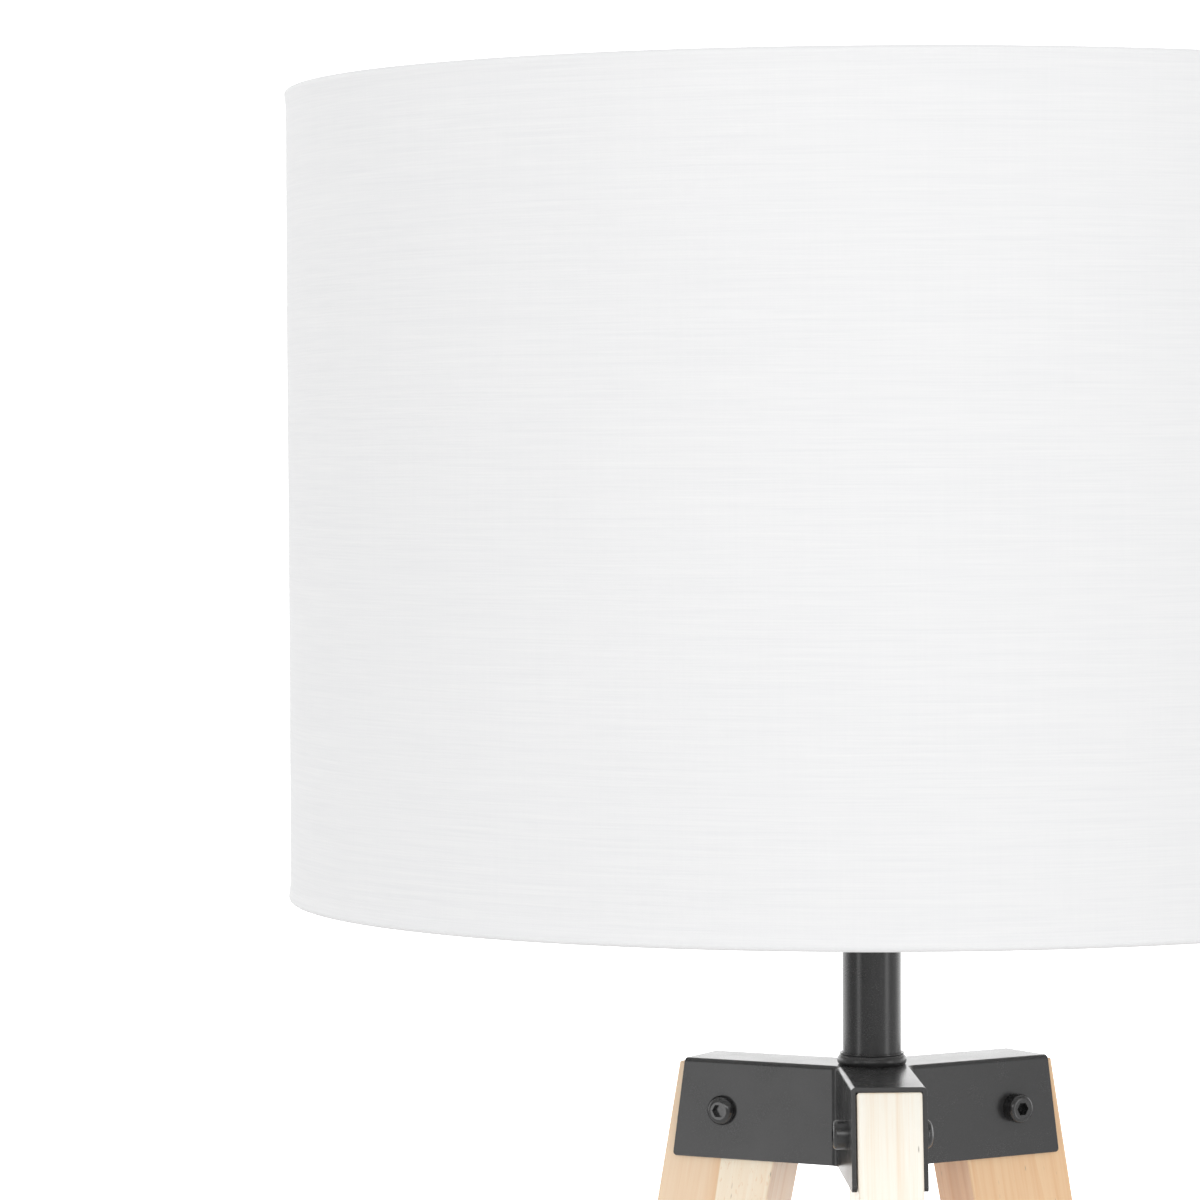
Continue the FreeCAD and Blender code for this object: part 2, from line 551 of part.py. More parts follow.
def make_centre_contact():
    """The arched spring strip under the bulb's tip."""
    half = CONTACT_SPAN / 2
    inner = half - CONTACT_THICKNESS
    crown = INSERT_TOP + CONTACT_RISE
    return slab(CONTACT_WIDTH, (-half, INSERT_TOP), ((0, crown), (half, INSERT_TOP)),
                (inner, INSERT_TOP), ((0, crown - CONTACT_THICKNESS), (-inner, INSERT_TOP)))


def make_side_contact():
    """The strip that feeds the screw shell from the ceramic block's edge."""
    start = SCREW_SHELL_BORE / 2 + SCREW_SHELL_WALL + SNUG
    return Part.makeBox(CONTACT_THICKNESS, SIDE_CONTACT_WIDTH, SIDE_CONTACT_HEIGHT,
                        V(start, -SIDE_CONTACT_WIDTH / 2, INSERT_TOP))


# ---------------------------------------------------------------- shade
def make_shade_fabric():
    """The fabric drum, turned in over a wire ring at each edge."""
    outer = SHADE_RADIUS
    hem_inner = RING_RADIUS - RING_WIRE / 2 - SNUG - FABRIC
    wall = turned((outer - FABRIC, SHADE_BOTTOM + FABRIC), (outer, SHADE_BOTTOM + FABRIC),
                  (outer, SHADE_TOP - FABRIC), (outer - FABRIC, SHADE_TOP - FABRIC))
    edges = []
    for edge, inwards in ((SHADE_BOTTOM, 1), (SHADE_TOP, -1)):
        fold = edge + inwards * FABRIC
        edges.append(turned((hem_inner, fold), (hem_inner + FABRIC, edge), (outer - FABRIC, edge),
                            (outer, fold)))
        hem = sorted((fold, edge + inwards * HEM))
        edges.append(tube(hem_inner + FABRIC, hem_inner, *hem))
    slits = on_every_arm(spoke_bar(SPOKE_DIAMETER / 2 + SPOKE_SLIT))
    return wall.fuse(edges).removeSplitter().cut(slits)


def make_shade_liner():
    """The stiff backing sheet glued inside the fabric."""
    outer = SHADE_RADIUS - FABRIC - SNUG
    return tube(outer, outer - LINER, SHADE_BOTTOM + FABRIC + SNUG, SHADE_TOP - FABRIC - SNUG)


def make_shade_ring(edge, inwards):
    """A wire ring inside the hem at one edge of the shade."""
    return Part.makeTorus(RING_RADIUS, RING_WIRE / 2, V(0, 0, edge + inwards * RING_INSET))


def make_fitter_ring():
    """The flat ring in the middle of the shade's frame that seats on the lampholder."""
    return tube(FITTER_RADIUS, FITTER_BORE_RADIUS, FITTER_BOTTOM, FITTER_TOP)


def spoke_bar(radius):
    """A straight bar from the fitter ring down and out to the bottom ring's wire."""
    start = V(FITTER_RADIUS - SPOKE_DIAMETER, 0, (FITTER_BOTTOM + FITTER_TOP) / 2)
    end = V(RING_RADIUS - RING_WIRE / 4, 0, SHADE_BOTTOM + RING_INSET)
    return Part.makeCylinder(radius, (end - start).Length, start, end - start)


def make_shade_spokes():
    """Three straight wires welded to the fitter ring and to the shade's bottom ring."""
    hub = Part.makeCylinder(FITTER_RADIUS + WELD_LINE, 2 * MARGIN, V(0, 0, FITTER_BOTTOM - MARGIN))
    wire = Part.makeTorus(RING_RADIUS, RING_WIRE / 2 + WELD_LINE, V(0, 0, SHADE_BOTTOM + RING_INSET))
    spoke = spoke_bar(SPOKE_DIAMETER / 2).cut([hub, wire])
    return Part.makeCompound(on_every_arm(spoke))


def make_lock_ring():
    """The threaded ring that clamps the shade, with grip flutes round its edge."""
    bore = HOLDER_RADIUS + RUNNING
    outer = bore + LOCK_RING_WALL
    top = LOCK_RING_BOTTOM + LOCK_RING_HEIGHT
    ring = turned((bore, LOCK_RING_BOTTOM), (outer, LOCK_RING_BOTTOM), (outer, top - LOCK_RING_CHAMFER),
                  (outer - LOCK_RING_CHAMFER, top), (bore, top))
    flute = Part.makeCylinder(LOCK_RING_GRIP_DIAMETER / 2, LOCK_RING_HEIGHT,
                              V(outer + LOCK_RING_GRIP_DIAMETER / 4, 0, LOCK_RING_BOTTOM + LOCK_RING_LAND))
    turns = [360 * i / LOCK_RING_GRIPS for i in range(LOCK_RING_GRIPS)]
    return ring.cut([about_axis(flute, turn) for turn in turns])


# ---------------------------------------------------------------- bulb
def dome_radius(radius):
    """Radius, at the dome's lower edge, of a ball about the dome's centre."""
    return math.sqrt(radius ** 2 - (BULB_DOME_CENTRE - BULB_DOME_BOTTOM) ** 2)


def make_bulb_tip():
    """The contact button at the bulb's foot."""
    radius = BULB_TIP_DIAMETER / 2
    return turned((0, BULB_TIP), (radius - BULB_TIP_CHAMFER, BULB_TIP), (radius, BULB_TIP + BULB_TIP_CHAMFER),
                  (radius, BULB_TIP + BULB_TIP_HEIGHT), (0, BULB_TIP + BULB_TIP_HEIGHT))


def make_bulb_insulator():
    """The dark insulating cone between the tip and the cap."""
    bottom = BULB_TIP + BULB_TIP_HEIGHT
    shoulder = BULB_TIP + BULB_INSULATOR_TOP
    top = shoulder + BULB_INSULATOR_LIP
    rim = BULB_CAP_ROOT - BULB_CAP_WALL - SNUG
    return turned((0, bottom), (BULB_TIP_DIAMETER / 2 + BULB_INSULATOR_STEP, bottom),
                  (rim, shoulder), (rim, top), (0, top))


def make_bulb_cap():
    """The plated screw cap: round ridges at the thread's pitch stand in for the thread."""
    bottom = BULB_TIP + BULB_INSULATOR_TOP
    pitch = (BULB_CAP_TOP - bottom) / (BULB_THREAD_TURNS + 1)
    ridges = []
    for turn in range(BULB_THREAD_TURNS):
        z = bottom + pitch * turn
        ridges.append(((BULB_CAP_RADIUS, z + pitch / 2), (BULB_CAP_ROOT, z + pitch)))
    inner = BULB_CAP_ROOT - BULB_CAP_WALL
    return turned((inner, bottom), (BULB_CAP_ROOT, bottom), *ridges,
                  (BULB_CAP_ROOT, BULB_CAP_TOP), (inner, BULB_CAP_TOP))


def make_bulb_housing():
    """The white cup between the cap and the dome, open at the top."""
    foot = BULB_CAP_RADIUS + BULB_HOUSING_STEP
    rim = dome_radius(BULB_DIAMETER / 2)
    waist_height = (BULB_CAP_TOP + BULB_DOME_BOTTOM) / 2
    waist = foot + (rim - foot) * BULB_HOUSING_WAIST
    wall = BULB_HOUSING_WALL
    return turned((0, BULB_CAP_TOP), (foot, BULB_CAP_TOP),
                  ((waist, waist_height), (rim, BULB_DOME_BOTTOM)),
                  (rim - wall, BULB_DOME_BOTTOM),
                  ((waist - wall, waist_height + wall / 2), (foot - wall, BULB_CAP_TOP + wall)),
                  (0, BULB_CAP_TOP + wall))


def make_bulb_dome():
    """The hollow light-spreading dome."""
    outer = BULB_DIAMETER / 2
    inner = outer - BULB_GLASS
    top = BULB_TIP + BULB_LENGTH
    return turned((dome_radius(inner), BULB_DOME_BOTTOM), (dome_radius(outer), BULB_DOME_BOTTOM),
                  ((outer, BULB_DOME_CENTRE), (0, top)), (0, top - BULB_GLASS),
                  ((inner, BULB_DOME_CENTRE), (dome_radius(inner), BULB_DOME_BOTTOM)))


# ---------------------------------------------------------------- the whole lamp
# The front leg reaches further forward than the shade does back, so the lamp's axis stands
# behind the middle of the box.
FOOT_REACH, _ = leg_face_point(LEG_OUTER_DEPTH, GLIDE_THICKNESS)
AXIS_Y = (FOOT_REACH - max(SHADE_RADIUS, FOOT_REACH / 2)) / 2


def write_node(name, shape):
    """One STEP file for one node, moved from the lamp's axis to the row's origin."""
    shape.translated(V(0, AXIS_Y, 0)).exportStep(f"parts/{name}.step")


def write_all():
    """Every node of the lamp."""
    nodes = {
        "bracket": make_bracket(),
        "leg_bolts": Part.makeCompound(on_every_arm(make_leg_bolt())),
        "sleeve_nuts": Part.makeCompound(on_every_arm(make_sleeve_nut())),
        "stem_tube": tube(STEM_RADIUS, STEM_RADIUS - STEM_WALL, BRACKET_TOP, STEM_TOP),
        "stem_collar": make_stem_collar(),
        "stem_cap": make_stem_cap(),
        "threaded_rod": tube(ROD_RADIUS, ROD_BORE / 2, ROD_BOTTOM, ROD_TOP),
        "rod_washer": tube(WASHER_DIAMETER / 2, ROD_RADIUS + HOLE_PLAY, WASHER_BOTTOM, PLATE_UNDERSIDE),
        "rod_nut": make_rod_nut(),
        "cord_gland": make_cord_gland(),
        "lock_washer": make_lock_washer(),
        "lampholder_base": make_lampholder_base(),
        "lampholder_shell": make_lampholder_shell(),
        "lampholder_insert": make_lampholder_insert(),
        "terminal_screws": make_terminal_screws(),
        "screw_shell": make_screw_shell(),
        "centre_contact": make_centre_contact(),
        "side_contact": make_side_contact(),
        "shade_fabric": make_shade_fabric(),
        "shade_liner": make_shade_liner(),
        "shade_top_ring": make_shade_ring(SHADE_TOP, -1),
        "shade_bottom_ring": make_shade_ring(SHADE_BOTTOM, 1),
        "shade_fitter_ring": make_fitter_ring(),
        "shade_spokes": make_shade_spokes(),
        "shade_lock_ring": make_lock_ring(),
        "bulb_tip": make_bulb_tip(),
        "bulb_insulator": make_bulb_insulator(),
        "bulb_cap": make_bulb_cap(),
        "bulb_housing": make_bulb_housing(),
        "bulb_dome": make_bulb_dome(),
    }
    leg = make_leg()
    glide = make_glide()
    for arm, angle in ARM_ANGLES.items():
        nodes[f"leg_{arm}"] = about_axis(leg, angle)
        nodes[f"glide_{arm}"] = about_axis(glide, angle)
    for name, shape in nodes.items():
        write_node(name, shape)


write_all()
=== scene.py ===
import json
import math

import bmesh
import bpy
from mathutils import Matrix, Vector, noise


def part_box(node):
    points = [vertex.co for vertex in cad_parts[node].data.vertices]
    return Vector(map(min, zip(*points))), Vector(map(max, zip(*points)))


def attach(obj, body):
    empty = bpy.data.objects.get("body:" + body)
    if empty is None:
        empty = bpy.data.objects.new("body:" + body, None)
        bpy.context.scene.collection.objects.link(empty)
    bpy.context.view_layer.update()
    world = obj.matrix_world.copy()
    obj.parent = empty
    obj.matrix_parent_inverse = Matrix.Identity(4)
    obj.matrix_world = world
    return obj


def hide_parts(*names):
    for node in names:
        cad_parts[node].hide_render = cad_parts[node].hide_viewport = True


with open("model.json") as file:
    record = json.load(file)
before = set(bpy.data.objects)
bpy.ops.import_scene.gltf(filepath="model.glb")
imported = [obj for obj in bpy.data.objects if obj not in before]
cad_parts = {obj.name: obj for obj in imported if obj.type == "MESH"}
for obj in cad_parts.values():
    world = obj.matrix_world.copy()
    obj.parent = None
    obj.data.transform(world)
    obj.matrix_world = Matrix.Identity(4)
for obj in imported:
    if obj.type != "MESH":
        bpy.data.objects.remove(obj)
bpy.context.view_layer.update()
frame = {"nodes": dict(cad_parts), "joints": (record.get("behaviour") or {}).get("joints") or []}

NODES = frame["nodes"]
JOINTS = {joint["name"]: joint for joint in frame["joints"]}


def middle(box):
    """The middle point of a box given by its two corners."""
    low, high = Vector(box[0]), Vector(box[1])
    return (low + high) / 2


# ------------------------------------------------------------------ places read from the frame
AXIS = middle(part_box("stem_tube"))
SHADE_LOW, SHADE_HIGH = (Vector(corner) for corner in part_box("shade_fabric"))
SHADE_RADIUS = (SHADE_HIGH.x - SHADE_LOW.x) / 2
WIRE_LOW, WIRE_HIGH = (Vector(corner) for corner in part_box("shade_top_ring"))
WIRE = WIRE_HIGH.z - WIRE_LOW.z
WIRE_RADIUS = (WIRE_HIGH.x - WIRE_LOW.x) / 2 - WIRE / 2


# ------------------------------------------------------------------ camera
CAMERA_DISTANCE = 2.1206        # from the lamp's axis, on the level
CAMERA_BEARING = 4.923          # degrees to the left of the front leg
CAMERA_UNDER_TOP = 0.1466       # below the shade's top edge
CAMERA_PAN = 1.900              # degrees to the right of straight ahead
CAMERA_PITCH = -1.707
CAMERA_ROLL = -0.242
CAMERA_LENS = 153.85
SENSOR = 36.0


def make_camera():
    """The camera in front of the lamp, a little under the shade's top edge, panned off the lamp."""
    data = bpy.data.cameras.new("camera")
    data.sensor_width = SENSOR
    data.lens = CAMERA_LENS
    data.clip_start = 0.05
    data.clip_end = 100.0
    camera = bpy.data.objects.new("camera", data)
    bpy.context.scene.collection.objects.link(camera)
    bearing = math.radians(CAMERA_BEARING)
    pan, pitch, roll = (math.radians(a) for a in (CAMERA_PAN, CAMERA_PITCH, CAMERA_ROLL))
    place = Vector((AXIS.x - CAMERA_DISTANCE * math.sin(bearing),
                    AXIS.y - CAMERA_DISTANCE * math.cos(bearing),
                    SHADE_HIGH.z - CAMERA_UNDER_TOP))
    ahead = Vector((math.sin(pan) * math.cos(pitch), math.cos(pan) * math.cos(pitch), math.sin(pitch)))
    right = Vector((math.cos(pan), -math.sin(pan), 0))
    up = right.cross(ahead)
    right, up = (right * math.cos(roll) + up * math.sin(roll),
                 up * math.cos(roll) - right * math.sin(roll))
    camera.matrix_world = Matrix.Translation(place) @ Matrix((right, up, -ahead)).transposed().to_4x4()
    bpy.context.scene.camera = camera


make_camera()


# ------------------------------------------------------------------ node helpers
class Shader:
    """A material under construction: a Principled surface and short calls that add nodes."""

    def __init__(self, name, colour=(0.8, 0.8, 0.8), roughness=0.5, metallic=0.0):
        self.material = bpy.data.materials.new(name)
        self.material.use_nodes = True
        self.tree = self.material.node_tree
        self.surface = self.tree.nodes["Principled BSDF"]
        self.set("Base Color", (*colour, 1.0))
        self.set("Roughness", roughness)
        self.set("Metallic", metallic)

    def set(self, socket, value):
        """Gives the surface a number or colour, or the output of a node."""
        self.fill(self.surface.inputs[socket], value)

    def fill(self, socket, value):
        if isinstance(value, bpy.types.NodeSocket):
            self.tree.links.new(value, socket)
        else:
            socket.default_value = value

    def add(self, kind, **settings):
        node = self.tree.nodes.new("ShaderNode" + kind)
        for key, value in settings.items():
            setattr(node, key, value)
        return node

    def place(self):
        """The point in the object's own coordinates, in metres."""
        return self.add("TexCoord").outputs["Object"]

    def uv(self, name):
        return self.add("UVMap", uv_map=name).outputs["UV"]

    def mapped(self, vector, scale=(1, 1, 1), rotation=(0, 0, 0), location=(0, 0, 0)):
        node = self.add("Mapping")
        self.fill(node.inputs["Vector"], vector)
        node.inputs["Scale"].default_value = scale
        node.inputs["Rotation"].default_value = rotation
        node.inputs["Location"].default_value = location
        return node.outputs["Vector"]

    def turned_normal(self, turn):
        """The surface's normal in turned directions."""
        node = self.add("Mapping", vector_type="NORMAL")
        self.fill(node.inputs["Vector"], self.add("TexCoord").outputs["Normal"])
        node.inputs["Rotation"].default_value = turn
        return node.outputs["Vector"]

    def noise(self, vector, scale=1.0, detail=2.0, roughness=0.5, distortion=0.0):
        node = self.add("TexNoise")
        self.fill(node.inputs["Vector"], vector)
        node.inputs["Scale"].default_value = scale
        node.inputs["Detail"].default_value = detail
        node.inputs["Roughness"].default_value = roughness
        node.inputs["Distortion"].default_value = distortion
        return node.outputs["Fac"]

    def cells(self, vector, scale=1.0, feature="F1"):
        node = self.add("TexVoronoi", feature=feature)
        self.fill(node.inputs["Vector"], vector)
        node.inputs["Scale"].default_value = scale
        return node.outputs["Distance"]

    def math(self, operation, first, second=0.0, third=0.0):
        node = self.add("Math", operation=operation)
        for socket, value in zip(node.inputs, (first, second, third)):
            self.fill(socket, value)
        return node.outputs["Value"]

    def fit(self, value, low, high, to_low=0.0, to_high=1.0, smooth=False):
        """The value moved from one range to another, and kept inside it."""
        node = self.add("MapRange", interpolation_type="SMOOTHSTEP" if smooth else "LINEAR")
        for socket, number in zip(node.inputs, (value, low, high, to_low, to_high)):
            self.fill(socket, number)
        return node.outputs["Result"]

    def product(self, first, second):
        return self.math("MULTIPLY", first, second)

    def split(self, vector):
        node = self.add("SeparateXYZ")
        self.fill(node.inputs[0], vector)
        return node.outputs

    def joined(self, x, y, z=0.0):
        node = self.add("CombineXYZ")
        for socket, value in zip(node.inputs, (x, y, z)):
            self.fill(socket, value)
        return node.outputs[0]

    def mix(self, share, first, second, blend="MIX"):
        node = self.add("Mix", data_type="RGBA", blend_type=blend)
        self.fill(node.inputs["Factor"], share)
        for key, value in (("A", first), ("B", second)):
            socket = [s for s in node.inputs if s.name == key and s.type == "RGBA"][0]
            self.fill(socket, (*value, 1.0) if isinstance(value, tuple) else value)
        return [s for s in node.outputs if s.type == "RGBA"][0]

    def bump(self, height, distance, strength=1.0, after=None):
        node = self.add("Bump")
        self.fill(node.inputs["Height"], height)
        node.inputs["Distance"].default_value = distance
        node.inputs["Strength"].default_value = strength
        if after is not None:
            self.fill(node.inputs["Normal"], after)
        return node.outputs["Normal"]


# ------------------------------------------------------------------ materials
def painted_steel(name, colour, seed, roughness=0.25, ior=1.5):
    """Satin powder coat: a fine orange-peel skin with faint blotches of gloss."""
    s = Shader(name, colour, roughness)
    at = s.mapped(s.place(), location=(seed, 2 * seed, 0))
    peel = s.noise(at, 900, 2.0, 0.5)
    grain = s.noise(at, 3200, 2.0, 0.6)
    blotch = s.noise(at, 60, 3.0, 0.55)
    s.set("Base Color", s.mix(s.fit(grain, 0.3, 0.7), tuple(0.85 * c for c in colour),
                              tuple(1.15 * c for c in colour)))
    s.set("Roughness", s.math("ADD", s.fit(blotch, 0.3, 0.7, roughness - 0.03, roughness),
                             s.fit(grain, 0.3, 0.7, 0.0, 0.04)))
    s.set("IOR", ior)
    s.set("Normal", s.bump(grain, 0.000005, 0.4, s.bump(peel, 0.000008, 0.4)))
    return s.material


def bare_metal(name, colour, roughness, seed, brushed=(1, 1, 1)):
    """Plain or plated metal with fine scratches along the stretched direction."""
    s = Shader(name, colour, roughness, 1.0)
    at = s.mapped(s.place(), scale=brushed, location=(seed, 0, seed))
    scratch = s.noise(at, 1500, 3.0, 0.6)
    tarnish = s.noise(at, 120, 3.0, 0.6)
    s.set("Base Color", s.mix(s.fit(tarnish, 0.35, 0.75), colour, tuple(0.8 * c for c in colour)))
    s.set("Roughness", s.fit(scratch, 0.3, 0.7, roughness - 0.07, roughness + 0.1))
    s.set("Normal", s.bump(scratch, 0.000006, 0.6))
    return s.material


def moulded_plastic(name, colour, roughness, seed, texture=0.00002):
    """Moulded plastic with a fine spark-eroded texture."""
    s = Shader(name, colour, roughness)
    at = s.mapped(s.place(), location=(seed, seed, 0))
    pits = s.noise(at, 2200, 2.0, 0.6)
    cloud = s.noise(at, 90, 2.0, 0.5)
    s.set("Base Color", s.mix(s.fit(cloud, 0.3, 0.7), tuple(0.94 * c for c in colour), colour))
    s.set("Roughness", s.fit(pits, 0.3, 0.7, roughness - 0.05, roughness + 0.08))
    s.set("Normal", s.bump(pits, texture, 0.5))
    return s.material


def fired_ceramic(name, colour):
    """Unglazed steatite with a faint speckle."""
    s = Shader(name, colour, 0.55)
    at = s.place()
    speckle = s.noise(at, 1300, 3.0, 0.65)
    s.set("Base Color", s.mix(s.fit(speckle, 0.55, 0.7), colour, tuple(0.82 * c for c in colour)))
    s.set("Normal", s.bump(speckle, 0.00002, 0.5))
    return s.material


def opal(name):
    """The bulb's dome: milky, with light inside its wall."""
    s = Shader(name, (0.9, 0.9, 0.885), 0.32)
    at = s.place()
    ripple = s.noise(at, 160, 2.0, 0.5)
    s.set("Subsurface Weight", 0.35)
    s.set("Subsurface Scale", 0.004)
    s.set("Roughness", s.fit(ripple, 0.3, 0.7, 0.26, 0.38))
    s.set("Normal", s.bump(ripple, 0.00003, 0.4))
    return s.material


THREAD = 0.00042                # from one thread of the weave to the next


def shade_cloth(name):
    """White plain-weave cloth: fine threads, level slubs, and a soft sheen."""
    s = Shader(name, (0.78, 0.782, 0.788), 0.85)
    across, up, _ = s.split(s.uv("cloth"))
    warp = s.math("SINE", s.math("MULTIPLY", across, 2 * math.pi / THREAD))
    weft = s.math("SINE", s.math("MULTIPLY", up, 2 * math.pi / THREAD))
    weave = s.math("MULTIPLY", warp, weft)
    slub = s.noise(s.joined(s.product(across, 28.0), s.product(up, 1500.0)), 1.0, 3.0, 0.6)
    long_slub = s.noise(s.joined(s.product(across, 9.0), s.product(up, 520.0), 3.0), 1.0, 2.0, 0.5)
    warp_slub = s.noise(s.joined(s.product(across, 900.0), s.product(up, 14.0), 7.0), 1.0, 2.0, 0.5)
    cloud = s.noise(s.joined(s.product(across, 14.0), s.product(up, 14.0)), 1.0, 3.0, 0.5)
    lines = s.math("ADD", s.math("MULTIPLY", slub, 0.6), s.math("MULTIPLY", long_slub, 0.4))
    tone = s.math("ADD", lines, s.math("MULTIPLY", s.math("SUBTRACT", warp_slub, 0.5), 0.14))
    colour = s.mix(s.fit(tone, 0.34, 0.66), (0.762, 0.765, 0.774), (0.808, 0.809, 0.812))
    colour = s.mix(s.fit(cloud, 0.35, 0.7, 0.0, 0.2), colour, (0.803, 0.803, 0.805))
    s.set("Base Color", colour)
    s.set("Roughness", s.fit(lines, 0.35, 0.65, 0.9, 0.78))
    s.set("Sheen Weight", 0.25)
    s.set("Sheen Roughness", 0.5)
    s.set("Sheen Tint", (1.0, 1.0, 1.0, 1.0))
    s.set("Specular IOR Level", 0.3)
    threads = s.bump(weave, 0.00004, 0.35)
    s.set("Normal", s.bump(s.math("ADD", lines, s.math("MULTIPLY", warp_slub, 0.15)), 0.00014, 0.4, threads))
    return s.material


def liner_sheet(name):
    """The white backing sheet, with a faint trace of the cloth behind it."""
    s = Shader(name, (0.88, 0.88, 0.875), 0.42)
    x, y, z = s.split(s.place())
    round_way = s.math("ARCTAN2", s.math("SUBTRACT", y, AXIS.y), s.math("SUBTRACT", x, AXIS.x))
    trace = s.noise(s.joined(s.product(round_way, 4.0), s.product(z, 700.0)), 1.0, 3.0, 0.6)
    s.set("Base Color", s.mix(s.fit(trace, 0.35, 0.65), (0.86, 0.86, 0.855), (0.9, 0.9, 0.895)))
    s.set("Roughness", s.fit(trace, 0.3, 0.7, 0.38, 0.5))
    s.set("Normal", s.bump(trace, 0.00004, 0.35))
    return s.material


def pine(name, to_leg, seed, face, side, strip, inner_tone_and_shade, strip_edge, strip_slope, pith, rings, speckle):
    """Clear-coated pine, in the leg's own directions: x outwards, y across, z along the grain."""
    s = Shader(name, face, 0.4)
    turn = to_leg.to_3x3().to_euler()
    x, y, z = s.split(s.mapped(s.place(), rotation=turn, location=to_leg.to_translation()))

    def at(across, along, shift=0.0):
        return s.joined(s.math("MULTIPLY_ADD", x, across, shift + seed),
                        s.math("MULTIPLY_ADD", y, across, shift), s.math("MULTIPLY", z, along))

    drift = s.math("MULTIPLY", s.noise(at(55.0, 8.0), 1.0, 2.0), 1.6)
    off, depth, lean = pith
    aside = s.math("SUBTRACT", x, off)
    deep = s.math("MULTIPLY_ADD", z, lean, s.math("ADD", y, depth))
    far = s.math("SQRT", s.math("MULTIPLY_ADD", aside, aside, s.math("MULTIPLY", deep, deep)))
    wave = s.math("FRACT", s.math("MULTIPLY_ADD", far, 230.0, drift))
    late = s.math("MULTIPLY", s.fit(wave, 0.35, 0.95, smooth=True), s.fit(wave, 1.0, 0.95))
    broad = s.noise(at(95.0, 2.4, 3.0), 1.0, 2.0)
    streak = s.noise(at(430.0, 8.0, 5.0), 1.0, 3.0, 0.6)
    fibre = s.noise(at(2400.0, 50.0, 7.0), 1.0, 3.0, 0.65)
    mottle = s.noise(at(700.0, 260.0, 9.0), 1.0, 2.0, 0.6)
    pit_at = at(330.0, 62.0, 11.0)
    pit = s.math("MULTIPLY", s.fit(s.cells(pit_at), 0.05, 0.11, 1.0, 0.0),
                 s.fit(s.noise(pit_at, 0.4, 1.0), 0.46, 0.52))
    edge = s.math("SUBTRACT", x, s.math("MULTIPLY", z, strip_slope))
    outer = s.fit(edge, strip_edge - 0.0003, strip_edge + 0.0003)
    beside = s.math("MULTIPLY", outer, s.fit(edge, strip_edge, strip_edge + 0.006, 1.0, 0.0, smooth=True))
    facing = s.split(s.turned_normal(turn))[0]
    on_face = s.fit(facing, 0.6, 0.9)
    on_side = s.fit(s.math("ABSOLUTE", facing), 0.9, 0.6)
    wood = s.mix(outer, strip, side)
    wood = s.mix(on_face, wood, face)
    # The faces turned inwards, towards the lamp's axis, take a colour of their own: partly the wood's tone,
    # partly painted shade.
    on_inner = s.fit(facing, -0.6, -0.9)
    wood = s.mix(on_inner, wood, inner_tone_and_shade)
    stripe = s.fit(s.noise(at(260.0, 1.5, 13.0), 1.0, 1.0), 0.42, 0.6)
    stripes = s.product(on_inner, s.product(stripe, 0.8))
    wood = s.mix(stripes, wood, (0.88, 0.8, 0.74), "MULTIPLY")
    wood = s.mix(s.fit(broad, 0.42, 0.75, 0.0, 0.4), wood, (0.96, 0.87, 0.77), "MULTIPLY")
    wood = s.mix(s.math("MULTIPLY", late, s.fit(on_face, 0.0, 1.0, rings, 0.3 * rings)),
                 wood, (0.88, 0.7, 0.52), "MULTIPLY")
    wood = s.mix(s.fit(streak, 0.45, 0.75, 0.0, 0.55), wood, (0.92, 0.8, 0.68), "MULTIPLY")
    wood = s.mix(s.fit(fibre, 0.45, 0.75, 0.0, 0.2), wood, (0.86, 0.76, 0.66), "MULTIPLY")
    band = s.product(s.product(beside, on_side), 0.8)
    wood = s.mix(band, wood, (0.93, 0.79, 0.64), "MULTIPLY")
    spots = s.math("MULTIPLY", s.fit(mottle, 0.6, 0.68, 0.0, speckle), s.math("SUBTRACT", 1.0, outer))
    wood = s.mix(s.math("MULTIPLY", spots, on_side), wood, (0.86, 0.68, 0.52), "MULTIPLY")
    wood = s.mix(s.math("MULTIPLY", pit, 0.8), wood, (0.3, 0.24, 0.19))
    s.set("Base Color", wood)
    s.set("Roughness", s.math("ADD", s.fit(late, 0.0, 1.0, 0.44, 0.36), s.fit(fibre, 0.3, 0.7, -0.03, 0.05)))
    s.set("Coat Weight", 0.35)
    s.set("Coat Roughness", 0.16)
    s.set("Normal", s.bump(fibre, 0.00002, 0.5, s.bump(pit, 0.0001, 0.4)))
    return s.material


def give(material, *names):
    """Puts one material on every slot of the named CAD nodes."""
    for name in names:
        mesh = NODES[name].data
        for index in range(len(mesh.materials)):
            mesh.materials[index] = material


# ------------------------------------------------------------------ legs
def leg_directions(arm):
    """The matrix from the row's frame to a leg's own: x outwards, y across, z up the leg, from the bolt."""
    joint = JOINTS[f"leg_{arm}_fold"]
    pivot = Vector(joint["pos_m"])
    across = Vector(joint["axis"]).normalized()
    foot = middle(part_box(f"glide_{arm}"))
    along = pivot - foot
    along -= across * along.dot(across)
    along.normalize()
    outwards = across.cross(along)
    return Matrix((outwards, across, along)).to_4x4() @ Matrix.Translation(-pivot)


